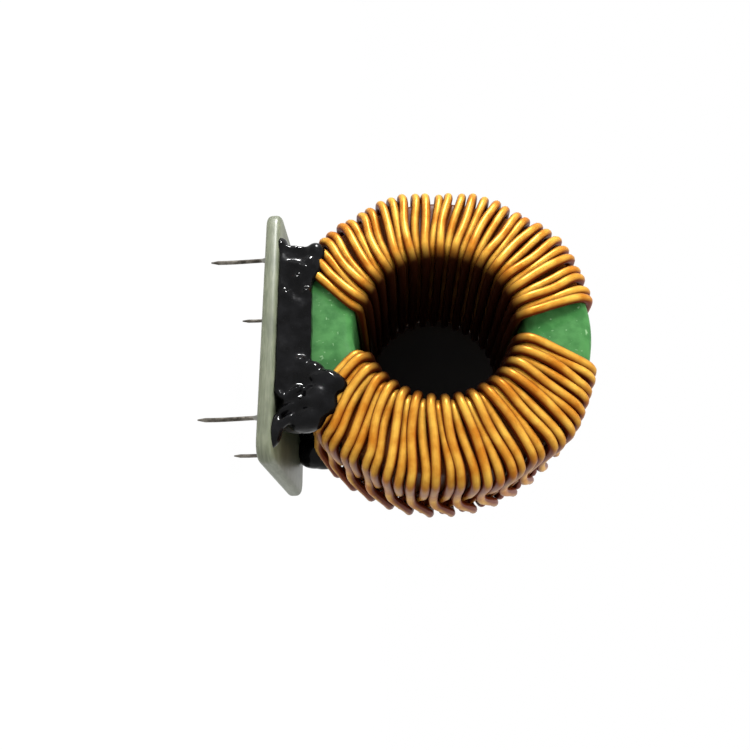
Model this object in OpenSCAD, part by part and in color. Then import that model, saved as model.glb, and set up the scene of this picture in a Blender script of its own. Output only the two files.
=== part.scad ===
// Common mode choke: two enamelled copper windings on a coated ferrite ring,
// set upright in black resin on a small base board with four pins.
// The underside of the board is the seating plane, Z = 0, and the pins point down.
// The ring's axis lies along Y, and the long side of the board along X.

/* [Ferrite ring] */
// Outside diameter of the bare ring
ring_od = 31; // [29:0.5:33]
// Hole diameter of the bare ring
ring_id = 19; // [18.5:0.5:21]
// Height of the bare ring along its axis
ring_h = 15; // [13:0.5:15.5]
// Edge rounding of the bare ring
ring_round = 0.6; // [0.3:0.1:1.2]
// Thickness of the green epoxy coat on the ring
coat_t = 0.35; // [0.2:0.05:0.5]

/* [Windings] */
// Turns in each winding: half are laid on the way up, half between them on the way back
turns = 32; // [24:2:32]
// Diameter of the enamelled wire
wire_d = 0.9; // [0.7:0.05:0.9]
// Gap left between a wire and what it lies on
lay_gap = 0.06; // [0.04:0.01:0.1]
// Degrees from level that the left winding reaches down the outer wall
left_low = 62; // [58:1:62]
// Degrees from level that the left winding reaches up the outer wall
left_high = 82; // [76:1:82]
// Degrees from level that the right winding reaches down the outer wall
right_low = 58; // [56:1:64]
// Degrees from level that the right winding reaches up the outer wall
right_high = 70; // [68:1:74]
// Extra degrees that the lowest turn fans out at the hole
fan_low = 12; // [8:1:14]
// Extra degrees that the highest turn fans out at the hole
fan_high = 5; // [3:1:6]
// Bend radius of a turn that rides over the others at the outer edge
proud_bend = 2.2; // [1.6:0.1:2.6]
// Most that a turn laid on the way back stands off by hand laying
lay_slack = 0.15; // [0:0.05:0.3]
// Most that a turn wanders sideways at the outer edge
lay_wander = 0.1; // [0:0.05:0.1]

/* [Base board] */
// Length of the board along X
board_l = 28.6; // [26:0.2:34]
// Width of the board along Y
board_w = 19.8; // [19.8:0.2:24]
// Thickness of the board
board_t = 1.6; // [1:0.2:2.4]
// Corner radius of the board
board_round = 2; // [0.5:0.5:4]
// Gap between the board and the lowest point of the coated ring
core_lift = 1; // [1:0.1:1.6]

/* [Pins] */
// Diameter of a pin
pin_d = 0.45; // [0.4:0.05:0.6]
// Length of a pin below the board
pin_l = 6.6; // [3:0.2:10]
// Length of the tapered tip of a pin
pin_tip = 0.8; // [0.4:0.1:1.2]
// Length of a pin above the board, where a lead is joined to it inside the resin
pin_head = 0.5; // [0.3:0.1:0.6]
// Pin spacing along X
pin_x = 18.6; // [18:0.2:20]
// Pin spacing along Y
pin_y = 14.4; // [12:0.2:15]
// How much thicker a pin is all round where the board holds it
pin_grip = 0.05; // [0.03:0.01:0.1]
// Gap all round a pin in its hole in the board
pin_gap = 0.05; // [0.03:0.01:0.1]
// Reach of the solder out along the board
solder_foot = 0.4; // [0.3:0.05:0.4]
// Reach of the solder down the pin
solder_rise = 0.8; // [0.5:0.1:1.2]
// Thickness of the solder's thin edges
solder_lip = 0.08; // [0.05:0.01:0.12]

/* [Resin] */
// Length of the resin bed along X, left of the middle
resin_left = 11.2; // [11:0.1:12.4]
// Length of the resin bed along X, right of the middle
resin_right = 11.4; // [11.2:0.1:12.4]
// Height of the resin above the board on the left
resin_top_left = 4.6; // [4:0.1:5]
// Height of the resin above the board on the right
resin_top_right = 6; // [5:0.1:6.4]
// How far the resin climbs over the ring's faces from its lowest point
resin_climb = 2.6; // [1.5:0.1:3]
// Thickness of the resin's thin top edge over a face of the ring
resin_lip = 1.6; // [1.4:0.1:1.7]
// Gap left between the resin's foot and the edge of the board
resin_inset = 0.2; // [0.1:0.1:0.4]
// Gap round a pin and its lead inside the resin
resin_gap = 0.12; // [0.1:0.01:0.16]
// Radius of the hollow in the resin's two ends
resin_hollow = 2.4; // [2:0.1:3]
// Depth of that hollow
resin_waist = 0.5; // [0.3:0.1:0.7]

/* [Hidden] */
$fn = 64;

// Thin overlap that keeps a cutting solid clear of the face that it cuts
over = 0.5;
// Sides of the wire's drawn section
wire_sides = 7;
// Vertices on each bend of a turn, and the angle that each one turns through
bend_steps = 3;
bend_turn = 90 / bend_steps;

// The coated ring, and the height of its axis
coat_ro = ring_od / 2 + coat_t;
coat_ri = ring_id / 2 - coat_t;
coat_h = ring_h + 2 * coat_t;
coat_round = ring_round + coat_t;
axis_z = board_t + core_lift + coat_ro;

// Diameter of a pin's shank, above the seating plane
shank_d = pin_d + 2 * pin_grip;

// Where the middle of the wire runs: along the hole, over the faces, and along the outer wall,
// once on the coat and once over the turns that lie on it
wire_r = wire_d / 2;
lay = lay_gap + wire_r;
run_ri = coat_ri - lay;
run_ro = coat_ro + lay;
run_over = run_ro + wire_d + lay_gap;
run_y = coat_h / 2 + lay;
run_bend = coat_round + lay;
half_turns = turns / 2;

// The turns are crowded in the hole, so those laid on the way back step out over their neighbours
hole_span = min(left_low + left_high, right_low + right_high) + fan_low + fan_high;
hole_pitch = run_ri * hole_span / (turns - 1) * PI / 180;
hole_step = sqrt(max(0, pow(wire_d + lay_gap, 2) - pow(hole_pitch, 2))) + lay_gap;

// Where a winding's ends leave its face for the pins: past the outer edge of the core
exit_r = run_ro + wire_d;
lead_z = board_t + pin_head + lay_gap;

// Degrees that a wire and its sideways wander take up beside its middle, at radius r
function half_wire(r) = (lay + lay_wander) / r * 180 / PI;

function left_reach() = [left_low, left_high];
function right_reach() = [right_low, right_high];

// A number from -1 to 1 that differs from one turn to the next
function wobble(i) = sin(157.3 * i + 40);

// Place of turn n across the winding: even places on the way up, odd ones on the way back
function place(n) = n < half_turns ? 2 * n : 2 * (turns - 1 - n) + 1;

// Degrees above level at which a place lies on the outer wall and in the hole
function outer_angle(reach, p) =
    -reach[0] + (reach[0] + reach[1]) * p / (turns - 1)
    + lay_wander * wobble(p) / run_ro * 180 / PI;
function hole_angle(reach, p) =
    -reach[0] - fan_low + (reach[0] + reach[1] + fan_low + fan_high) * p / (turns - 1);

// Radius at which the wire crosses the outer wall after turn n
function crossing_r(n) =
    n < half_turns ? run_ro : run_over + lay_slack * abs(wobble(place(n) + 3));
function crossing_bend(n) = n < half_turns ? run_bend : proud_bend;

// A point at radius r and angle a about the ring's axis
function around(side, r, a, y) = [side * r * cos(a), y, axis_z + r * sin(a)];

// Vertices of a round bend, outside the arc so that the wire never cuts its corner.
// The bend's corner is at [r, y], and it runs from the direction of angle from, in the section plane.
function bend(side, a, r, y, radius, mid_r, mid_y, from, way) = [
    for (i = [0 : bend_steps - 1])
        let (
            turn = from + way * bend_turn * (i + 0.5),
            reach = radius / cos(bend_turn / 2)
        )
        around(
            side,
            r + mid_r * radius + reach * cos(turn),
            a,
            y + mid_y * radius + reach * sin(turn)
        )
];

// How far turn n stands off the core
function step(n) = hole_step * (place(n) % 2);

// One turn: in along the front face, through the hole, out along the back face
function turn_front_outer(side, reach, n) = bend(
    side, outer_angle(reach, place(n)),
    crossing_r(n - 1), -run_y - step(n), crossing_bend(n - 1), -1, 1, 0, -1
);
function turn_hole(side, reach, n) = concat(
    bend(
        side, hole_angle(reach, place(n)),
        run_ri - step(n), -run_y - step(n), run_bend + step(n), 1, 1, 270, -1
    ),
    bend(
        side, hole_angle(reach, place(n)),
        run_ri - step(n), run_y + step(n), run_bend + step(n), 1, -1, 180, -1
    )
);
function turn_back_outer(side, reach, n) = bend(
    side, outer_angle(reach, place(n)),
    crossing_r(n), run_y + step(n), crossing_bend(n), -1, -1, 90, -1
);

// Middle of the way back to the front along the outer wall, halfway to the next turn's place
function turn_crossing(side, reach, n) = around(
    side,
    crossing_r(n),
    (outer_angle(reach, place(n)) + outer_angle(reach, place(n + 1))) / 2,
    0
);

// A lead from the top of its pin to the face of the ring, in front (way -1) or behind (way 1)
function lead_exit(side, reach, n, way) =
    around(side, exit_r, outer_angle(reach, place(n)), way * (run_y + step(n)));
function lead(side, reach, n, way) = [
    [side * pin_x / 2, way * pin_y / 2, lead_z],
    [side * pin_x / 2, way * pin_y / 2, lead_z + wire_r],
    lead_exit(side, reach, n, way),
    around(side, coat_ro, outer_angle(reach, place(n)), way * (run_y + step(n)))
];

function reversed(points) = [for (i = [len(points) - 1 : -1 : 0]) points[i]];

function winding_path(side, reach) = [
    each lead(side, reach, 0, -1),
    for (n = [0 : turns - 1]) each concat(
        n > 0 ? turn_front_outer(side, reach, n) : [],
        turn_hole(side, reach, n),
        n < turns - 1 ? turn_back_outer(side, reach, n) : [],
        n < turns - 1 ? [turn_crossing(side, reach, n)] : []
    ),
    each reversed(lead(side, reach, turns - 1, 1))
];

function unit(v) = v / norm(v);

// Direction of the path at each point, halfway between the pieces that meet there
function path_direction(path, i) =
    i == 0 ? unit(path[1] - path[0])
    : i == len(path) - 1 ? unit(path[i] - path[i - 1])
    : unit(unit(path[i] - path[i - 1]) + unit(path[i + 1] - path[i]));

// A sideways direction carried along the path without twisting
function carried(v, along) = unit(v - (v * along) * along);

// A round wire swept along a path
module wire(path) {
    count = len(path);
    along = [for (i = [0 : count - 1]) path_direction(path, i)];
    sideways = [
        for (i = 0, v = carried([1, 0, 0], along[0]); i < count;
             i = i + 1, v = i < count ? carried(v, along[i]) : v) v
    ];
    points = [
        for (i = [0 : count - 1], j = [0 : wire_sides - 1])
            let (turn = 360 * j / wire_sides)
            path[i] + wire_r * (cos(turn) * sideways[i] + sin(turn) * cross(along[i], sideways[i]))
    ];
    walls = [
        for (i = [0 : count - 2], j = [0 : wire_sides - 1])
            let (
                a = i * wire_sides + j,
                b = i * wire_sides + (j + 1) % wire_sides
            )
            each [[a, a + wire_sides, b], [b, a + wire_sides, b + wire_sides]]
    ];
    first_end = [for (j = [0 : wire_sides - 1]) j];
    last_end = [for (j = [wire_sides - 1 : -1 : 0]) (count - 1) * wire_sides + j];
    polyhedron(points, concat(walls, [first_end, last_end]), convexity = 10);
}

// Section of a ring with rounded edges, from the axis outwards
module ring_section(r_in, r_out, h, round) {
    translate([r_in + round, -h / 2])
        square([r_out - r_in - 2 * round, h]);
    translate([r_in, -h / 2 + round])
        square([r_out - r_in, h - 2 * round]);
    for (r = [r_in + round, r_out - round], y = [-h / 2 + round, h / 2 - round])
        translate([r, y])
            circle(round);
}

module ring_about_axis(r_in, r_out, h, round) {
    translate([0, 0, axis_z])
        rotate([90, 0, 0])
            rotate_extrude()
                ring_section(r_in, r_out, h, round);
}

module rounded_plate(l, w, t, round) {
    linear_extrude(t) {
        square([l - 2 * round, w], center = true);
        square([l, w - 2 * round], center = true);
        for (x = [-1, 1], y = [-1, 1])
            translate([x * (l / 2 - round), y * (w / 2 - round)])
                circle(round);
    }
}

module at_pin(x, y) {
    translate([x * pin_x / 2, y * pin_y / 2, 0])
        children();
}

module ferrite_ring() {
    color("dimgray")
        ring_about_axis(ring_id / 2, ring_od / 2, ring_h, ring_round);
}

module core_coat() {
    color("seagreen")
        difference() {
            ring_about_axis(coat_ri, coat_ro, coat_h, coat_round);
            ring_about_axis(ring_id / 2, ring_od / 2, ring_h, ring_round);
        }
}

module winding_left() {
    color("goldenrod")
        wire(winding_path(-1, left_reach()));
}

module winding_right() {
    color("goldenrod")
        wire(winding_path(1, right_reach()));
}

module base_board() {
    color("darkseagreen")
        difference() {
            rounded_plate(board_l, board_w, board_t, board_round);
            for (x = [-1, 1], y = [-1, 1])
                at_pin(x, y)
                    translate([0, 0, -over])
                        cylinder(h = board_t + 2 * over, d = shank_d + 2 * pin_gap);
        }
}

module pin(x, y) {
    color("silver")
        at_pin(x, y) {
            translate([0, 0, -pin_l])
                cylinder(h = pin_tip, d1 = pin_d / 3, d2 = pin_d);
            translate([0, 0, pin_tip - pin_l])
                cylinder(h = pin_l - pin_tip + over, d = pin_d);
            cylinder(h = board_t + pin_head, d = shank_d);
        }
}

module pin_front_left() {
    pin(-1, -1);
}

module pin_front_right() {
    pin(1, -1);
}

module pin_back_left() {
    pin(-1, 1);
}

module pin_back_right() {
    pin(1, 1);
}

// Solder drawn down each pin in a hollow fillet under the board
module solder_joints() {
    pin_r = pin_d / 2;
    color("lightgray")
        for (x = [-1, 1], y = [-1, 1])
            at_pin(x, y)
                rotate_extrude()
                    polygon([
                        [pin_r, 0],
                        [pin_r + solder_foot, 0],
                        [pin_r + solder_foot, -solder_lip],
                        [pin_r + solder_foot / 2, -solder_rise / 4],
                        [pin_r + solder_lip, -solder_rise],
                        [pin_r, -solder_rise]
                    ]);
}

// Front outline of the resin: a bed on the board that climbs the ring's faces and the windings' ends
module resin_front() {
    out = resin_hollow - resin_waist;
    difference() {
        union() {
            translate([-resin_left, board_t])
                square([resin_left, resin_top_left]);
            translate([0, board_t])
                square([resin_right, resin_top_right]);
        }
        translate([0, axis_z])
            circle(coat_ro - resin_climb);
        translate([-resin_left - out, board_t + resin_hollow])
            circle(resin_hollow);
        translate([resin_right + out, board_t + resin_hollow])
            circle(resin_hollow);
    }
}

// Side outline of the resin: upright at the foot, leaning in to a thin edge over the ring's faces
module resin_side() {
    foot = board_w / 2 - resin_inset;
    edge = coat_h / 2 + resin_lip;
    top = board_t + max(resin_top_left, resin_top_right);
    shoulder = board_t + core_lift;
    polygon([
        [-foot, board_t], [foot, board_t], [foot, shoulder],
        [edge, top], [-edge, top], [-foot, shoulder]
    ]);
}

// A quarter of a square-edged ring round the right side of the core, from degrees below level
module side_space(r_in, r_out, h, below) {
    translate([0, 0, axis_z])
        rotate([90, below, 0])
            rotate_extrude(angle = 90)
                translate([r_in, -h / 2])
                    square([r_out - r_in, h]);
}

// The space that the right winding's lowest turns take up: on the core,
// and riding over that from the second place on
module winding_space(reach) {
    side_space(
        run_ri - hole_step - lay,
        run_ro + lay,
        2 * (run_y + hole_step + lay),
        half_wire(coat_ro - resin_climb) + reach[0] + fan_low / 2
    );
    side_space(
        run_ro,
        run_over + lay_slack + lay,
        2 * (run_y + hole_step),
        half_wire(run_over) - outer_angle(reach, 1)
    );
}

// The pocket round a pin's top and the lead that rises from it
module lead_pocket(side, reach, n, way) {
    pin_top = lead(side, reach, n, way)[0];
    exit = lead_exit(side, reach, n, way);
    room = wire_r + resin_gap;
    low = [min(pin_top[0], exit[0]) - room, min(pin_top[1], exit[1]) - room, board_t - over];
    high = [max(pin_top[0], exit[0]) + room, max(pin_top[1], exit[1]) + room, exit[2] + wire_d];
    translate(low)
        cube(high - low);
}

module resin_bed() {
    deep = 2 * board_w;
    color([0.08, 0.08, 0.08])
        difference() {
            intersection() {
                translate([0, deep / 2, 0])
                    rotate([90, 0, 0])
                        linear_extrude(deep)
                            resin_front();
                translate([-board_l, 0, 0])
                    rotate([90, 0, 90])
                        linear_extrude(2 * board_l)
                            resin_side();
            }
            ring_about_axis(coat_ri, coat_ro, coat_h, coat_round);
            winding_space(right_reach());
            mirror([1, 0, 0])
                winding_space(left_reach());
            lead_pocket(-1, left_reach(), 0, -1);
            lead_pocket(-1, left_reach(), turns - 1, 1);
            lead_pocket(1, right_reach(), 0, -1);
            lead_pocket(1, right_reach(), turns - 1, 1);
        }
}

ferrite_ring();
core_coat();
winding_left();
winding_right();
base_board();
pin_front_left();
pin_front_right();
pin_back_left();
pin_back_right();
solder_joints();
resin_bed();
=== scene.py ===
"""Dresses the common mode choke: wire, coated ring, board, pins and poured resin."""

import logging
import math
from collections.abc import Callable, Sequence
from dataclasses import dataclass
from enum import Enum
from typing import Any

import bpy
from mathutils import Euler, Matrix, Vector


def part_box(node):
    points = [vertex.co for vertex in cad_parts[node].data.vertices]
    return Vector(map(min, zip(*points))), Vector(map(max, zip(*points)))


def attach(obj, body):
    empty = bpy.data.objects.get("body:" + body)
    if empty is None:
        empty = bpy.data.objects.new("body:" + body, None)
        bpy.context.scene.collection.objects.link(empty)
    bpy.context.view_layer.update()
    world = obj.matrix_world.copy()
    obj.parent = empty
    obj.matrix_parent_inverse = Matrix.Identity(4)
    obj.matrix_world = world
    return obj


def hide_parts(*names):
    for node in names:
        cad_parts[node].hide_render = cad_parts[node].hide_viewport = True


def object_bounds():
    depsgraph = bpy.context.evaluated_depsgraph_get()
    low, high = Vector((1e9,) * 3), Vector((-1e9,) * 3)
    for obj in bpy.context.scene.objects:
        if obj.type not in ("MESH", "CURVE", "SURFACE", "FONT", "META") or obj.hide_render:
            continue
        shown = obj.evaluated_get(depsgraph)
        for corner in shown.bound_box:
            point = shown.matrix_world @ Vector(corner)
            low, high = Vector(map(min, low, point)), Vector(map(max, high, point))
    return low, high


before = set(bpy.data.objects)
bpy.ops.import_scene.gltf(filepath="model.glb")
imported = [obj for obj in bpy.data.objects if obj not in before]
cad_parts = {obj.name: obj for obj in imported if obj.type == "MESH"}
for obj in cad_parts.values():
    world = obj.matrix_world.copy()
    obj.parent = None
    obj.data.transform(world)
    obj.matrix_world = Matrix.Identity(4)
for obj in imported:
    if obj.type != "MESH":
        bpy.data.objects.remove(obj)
CAD_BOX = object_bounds()
AXIS_Z = sum(corner[2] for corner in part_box("core_coat")) / 2

LOG = logging.getLogger("choke")
MM = 0.001
BODY = "root"
CREST = "crest"
FRAME_PIXELS = 750
SENSOR_MM = 36.0
MERGE_MM = 0.002
LEVEL_MM = 0.01
CREASE_DEG = 50
WOBBLE_STEP_DEG = 157.3
WOBBLE_START_DEG = 40


class Slot(Enum):
    """The record's material slot names. No piece here takes its finish from them."""

    EPOXY = "green_epoxy"
    WIRE = "copper_wire"
    BOARD = "glass_laminate"
    PIN = "tinned_pin"
    SOLDER = "solder"
    RESIN = "black_resin"


class Side(Enum):
    """The two sides of the ring, as the sign of X."""

    LEFT = -1
    RIGHT = 1


# How far each winding reaches below and above level on the outer wall, in degrees.
REACHES_DEG = {Side.LEFT: (62, 82), Side.RIGHT: (58, 70)}


class Face(Enum):
    """The two faces of the ring, as the sign of Y."""

    FRONT = -1
    BACK = 1


def to_linear(code: str) -> tuple[float, float, float, float]:
    """Turns an sRGB hex colour into a linear one.

    Args:
        code: Six hex digits after a hash sign.

    Returns:
        Red, green, blue and an alpha of one.
    """
    parts = [int(code[i : i + 2], 16) / 255 for i in (1, 3, 5)]
    red, green, blue = (
        p / 12.92 if p <= 0.04045 else ((p + 0.055) / 1.055) ** 2.4 for p in parts
    )
    return red, green, blue, 1.0


def per_metre(size_mm: float) -> float:
    """Gives the texture scale that makes one feature of a pattern size_mm wide."""
    return 1 / (size_mm * MM)


def add_node(
    tree: bpy.types.NodeTree,
    kind: str,
    settings: dict[str, Any] | None = None,
    inputs: dict[str | int, Any] | None = None,
) -> bpy.types.Node:
    """Adds a shader node with its settings and its links.

    Args:
        tree: The node tree that takes the node.
        kind: The node's type.
        settings: Properties to set on the node.
        inputs: Sockets by name or number, each with its value or the socket to link.

    Returns:
        The new node.
    """
    node = tree.nodes.new(kind)
    for key, value in (settings or {}).items():
        setattr(node, key, value)
    for key, value in (inputs or {}).items():
        if isinstance(value, bpy.types.NodeSocket):
            tree.links.new(value, node.inputs[key])
        else:
            node.inputs[key].default_value = value
    return node


def new_material(
    name: str, constants: dict[str, Any]
) -> tuple[bpy.types.Material, bpy.types.Node, bpy.types.NodeSocket]:
    """Starts a material on Blender's principled shader.

    Args:
        name: The material's common name and how it was made.
        constants: Shader sockets that are the same all over the surface.

    Returns:
        The material, its shader, and the object coordinates that patterns read.
    """
    material = bpy.data.materials.new(name)
    material.use_nodes = True
    tree = material.node_tree
    tree.nodes.clear()
    shader = add_node(tree, "ShaderNodeBsdfPrincipled", inputs=constants)
    add_node(tree, "ShaderNodeOutputMaterial", inputs={"Surface": shader.outputs[0]})
    place = add_node(tree, "ShaderNodeTexCoord")
    return material, shader, place.outputs["Object"]


def set_surface(tree: bpy.types.NodeTree, surface: bpy.types.NodeSocket) -> None:
    """Makes a socket the material's surface, in place of its first shader."""
    output = next(n for n in tree.nodes if n.type == "OUTPUT_MATERIAL")
    tree.links.new(surface, output.inputs["Surface"])


@dataclass(frozen=True)
class EnamelledCopper:
    """Drawn copper wire under a clear amber enamel.

    The eye sees gold where light strikes and red brown in the folds, where the red brown
    is painted shade.
    """

    bright: str = "#EFB94C"
    deep: str = "#C67C24"
    # Painted shade: the red brown that the wire takes in the folds between strands.
    fold_shade: str = "#6C2A0B"
    # Painted shade: the colour that the wire darkens to inside the ring's hole.
    hole_shade: str = "#2C1206"
    gleam: str = "#E8B478"
    patch_mm: float = 2.2
    hole_shade_r_mm: float = 7.9
    hole_lit_r_mm: float = 9.4

    def material(self) -> bpy.types.Material:
        """Builds the wire's finish: gold crests, painted shade in the folds, painted shade
        in the hole.

        Returns:
            The new material.
        """
        material, shader, place = new_material(
            "enamelled copper, drawn wire",
            {
                "Metallic": 0.12,
                "Roughness": 0.34,
                "Specular IOR Level": 0.12,
                "Specular Tint": to_linear(self.gleam),
            },
        )
        tree = material.node_tree
        drift = add_node(
            tree,
            "ShaderNodeTexNoise",
            inputs={"Vector": place, "Scale": per_metre(self.patch_mm), "Detail": 3.0},
        )
        spread = add_node(
            tree,
            "ShaderNodeMapRange",
            inputs={"Value": drift.outputs[0], "From Min": 0.35, "From Max": 0.65},
        )
        colour = add_node(
            tree,
            "ShaderNodeMix",
            {"data_type": "RGBA"},
            {0: spread.outputs[0], 6: to_linear(self.deep), 7: to_linear(self.bright)},
        )
        crest = add_node(tree, "ShaderNodeAttribute", {"attribute_name": CREST})
        unshaded = add_node(
            tree,
            "ShaderNodeMapRange",
            inputs={"Value": crest.outputs["Fac"], "From Min": 0.42, "From Max": 1.0},
        )
        # Painted shade: the wire darkens to red brown where it faces the ring or its
        # neighbours.
        fold_shaded = add_node(
            tree,
            "ShaderNodeMix",
            {"data_type": "RGBA"},
            {0: unshaded.outputs[0], 6: to_linear(self.fold_shade), 7: colour.outputs[2]},
        )
        flat = add_node(
            tree,
            "ShaderNodeVectorMath",
            {"operation": "MULTIPLY_ADD"},
            {0: place, 1: (1, 0, 1), 2: (0, 0, -AXIS_Z)},
        )
        radius = add_node(
            tree, "ShaderNodeVectorMath", {"operation": "LENGTH"}, {0: flat.outputs[0]}
        )
        # Painted shade in the hole: the wire keeps its lit colour far from the axis and
        # darkens to the shade colour near it.
        clean = add_node(
            tree,
            "ShaderNodeMapRange",
            inputs={
                "Value": radius.outputs["Value"],
                "From Min": self.hole_shade_r_mm * MM,
                "From Max": self.hole_lit_r_mm * MM,
            },
        )
        dipped = add_node(
            tree,
            "ShaderNodeMix",
            {"data_type": "RGBA"},
            {0: clean.outputs[0], 6: to_linear(self.hole_shade), 7: fold_shaded.outputs[2]},
        )
        tree.links.new(dipped.outputs[2], shader.inputs["Base Color"])
        return material


@dataclass(frozen=True)
class DippedEpoxy:
    """Green epoxy coat, dipped and baked.

    The eye sees a satin, mottled green with fine pale specks and slight orange peel.
    """

    body: str = "#4B8549"
    thick: str = "#386F39"
    speck: str = "#83AC7C"
    # Painted shade between the strands, red brown as light bounced off the copper.
    under_wire_shade: str = "#6E3A12"
    bare_top_deg: tuple[float, float] = (84, 17)
    bare_low_deg: tuple[float, float] = (-88, 33)
    soft_deg: float = 1.5
    mottle_mm: float = 1.6
    speck_mm: float = 0.45
    peel_mm: float = 0.7

    def material(self) -> bpy.types.Material:
        """Builds the coat's finish: green where bare, painted shade under the windings.

        Returns:
            The new material.
        """
        material, shader, place = new_material(
            "green epoxy, dipped coat", {"Roughness": 0.45, "Specular IOR Level": 0.1}
        )
        tree = material.node_tree
        mottle = add_node(
            tree,
            "ShaderNodeTexNoise",
            inputs={"Vector": place, "Scale": per_metre(self.mottle_mm), "Detail": 4.0},
        )
        shade = add_node(
            tree,
            "ShaderNodeMapRange",
            inputs={"Value": mottle.outputs[0], "From Min": 0.38, "From Max": 0.6},
        )
        green = add_node(
            tree,
            "ShaderNodeMix",
            {"data_type": "RGBA"},
            {0: shade.outputs[0], 6: to_linear(self.thick), 7: to_linear(self.body)},
        )
        grit = add_node(
            tree,
            "ShaderNodeTexNoise",
            inputs={"Vector": place, "Scale": per_metre(self.speck_mm), "Detail": 1.0},
        )
        specks = add_node(
            tree,
            "ShaderNodeMapRange",
            inputs={"Value": grit.outputs[0], "From Min": 0.7, "From Max": 0.8},
        )
        colour = add_node(
            tree,
            "ShaderNodeMix",
            {"data_type": "RGBA"},
            {0: specks.outputs[0], 6: green.outputs[2], 7: to_linear(self.speck)},
        )
        flat = add_node(
            tree,
            "ShaderNodeVectorMath",
            {"operation": "SUBTRACT"},
            {0: place, 1: (0, 0, AXIS_Z)},
        )
        split = add_node(tree, "ShaderNodeSeparateXYZ", inputs={0: flat.outputs[0]})
        angle = add_node(
            tree,
            "ShaderNodeMath",
            {"operation": "ARCTAN2"},
            {0: split.outputs["Z"], 1: split.outputs["X"]},
        )
        sectors = []
        for middle, half in (self.bare_top_deg, self.bare_low_deg):
            off = add_node(
                tree,
                "ShaderNodeMath",
                {"operation": "SUBTRACT"},
                {0: angle.outputs[0], 1: math.radians(middle)},
            )
            away = add_node(
                tree, "ShaderNodeMath", {"operation": "ABSOLUTE"}, {0: off.outputs[0]}
            )
            sectors.append(
                add_node(
                    tree,
                    "ShaderNodeMapRange",
                    inputs={
                        "Value": away.outputs[0],
                        "From Min": math.radians(half - self.soft_deg),
                        "From Max": math.radians(half + self.soft_deg),
                        "To Min": 1.0,
                        "To Max": 0.0,
                    },
                )
            )
        bare = add_node(
            tree,
            "ShaderNodeMath",
            {"operation": "MAXIMUM"},
            {i: sector.outputs[0] for i, sector in enumerate(sectors)},
        )
        # Painted shade: the coat is dark red brown wherever a winding covers it.
        dipped = add_node(
            tree,
            "ShaderNodeMix",
            {"data_type": "RGBA"},
            {0: bare.outputs[0], 6: to_linear(self.under_wire_shade), 7: colour.outputs[2]},
        )
        peel = add_node(
            tree,
            "ShaderNodeTexNoise",
            inputs={"Vector": place, "Scale": per_metre(self.peel_mm)},
        )
        bump = add_node(
            tree,
            "ShaderNodeBump",
            inputs={"Height": peel.outputs[0], "Strength": 0.35, "Distance": 0.05 * MM},
        )
        tree.links.new(dipped.outputs[2], shader.inputs["Base Color"])
        tree.links.new(bump.outputs[0], shader.inputs["Normal"])
        return material


@dataclass(frozen=True)
class GlassLaminate:
    """Bare glass-epoxy laminate with routed edges.

    The eye sees pale grey green, a faint weave, and layers of fibre on the edges.
    """

    resin: str = "#6A705A"
    fibre: str = "#7E836D"
    stain: str = "#555B49"
    ply_mm: float = 0.2
    weave_mm: float = 0.9
    stain_mm: float = 3.0

    def material(self) -> bpy.types.Material:
        """Builds the board's finish: plies along Z, a weave on X and Y, slow stains.

        Returns:
            The new material.
        """
        material, shader, place = new_material(
            "glass epoxy laminate, routed",
            {"Roughness": 0.42, "IOR": 1.52, "Subsurface Weight": 0.12},
        )
        shader.inputs["Subsurface Radius"].default_value = (0.9, 1.0, 0.7)
        shader.inputs["Subsurface Scale"].default_value = 0.6 * MM
        tree = material.node_tree
        stretched = add_node(
            tree,
            "ShaderNodeMapping",
            inputs={"Vector": place, "Scale": (0.12, 0.12, 1.0)},
        )
        plies = add_node(
            tree,
            "ShaderNodeTexNoise",
            inputs={
                "Vector": stretched.outputs[0],
                "Scale": per_metre(self.ply_mm),
                "Detail": 2.0,
            },
        )
        streaks = add_node(
            tree,
            "ShaderNodeMapRange",
            inputs={"Value": plies.outputs[0], "From Min": 0.4, "From Max": 0.66},
        )
        layered = add_node(
            tree,
            "ShaderNodeMix",
            {"data_type": "RGBA"},
            {0: streaks.outputs[0], 6: to_linear(self.resin), 7: to_linear(self.fibre)},
        )
        slow = add_node(
            tree,
            "ShaderNodeTexNoise",
            inputs={"Vector": place, "Scale": per_metre(self.stain_mm), "Detail": 3.0},
        )
        stains = add_node(
            tree,
            "ShaderNodeMapRange",
            inputs={
                "Value": slow.outputs[0],
                "From Min": 0.5,
                "From Max": 0.75,
                "To Max": 0.7,
            },
        )
        colour = add_node(
            tree,
            "ShaderNodeMix",
            {"data_type": "RGBA"},
            {0: stains.outputs[0], 6: layered.outputs[2], 7: to_linear(self.stain)},
        )
        weave = add_node(
            tree,
            "ShaderNodeTexChecker",
            inputs={"Vector": place, "Scale": per_metre(self.weave_mm)},
        )
        bump = add_node(
            tree,
            "ShaderNodeBump",
            inputs={
                "Height": weave.outputs["Fac"],
                "Strength": 0.15,
                "Distance": 0.02 * MM,
            },
        )
        tree.links.new(colour.outputs[2], shader.inputs["Base Color"])
        tree.links.new(bump.outputs[0], shader.inputs["Normal"])
        return material


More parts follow.
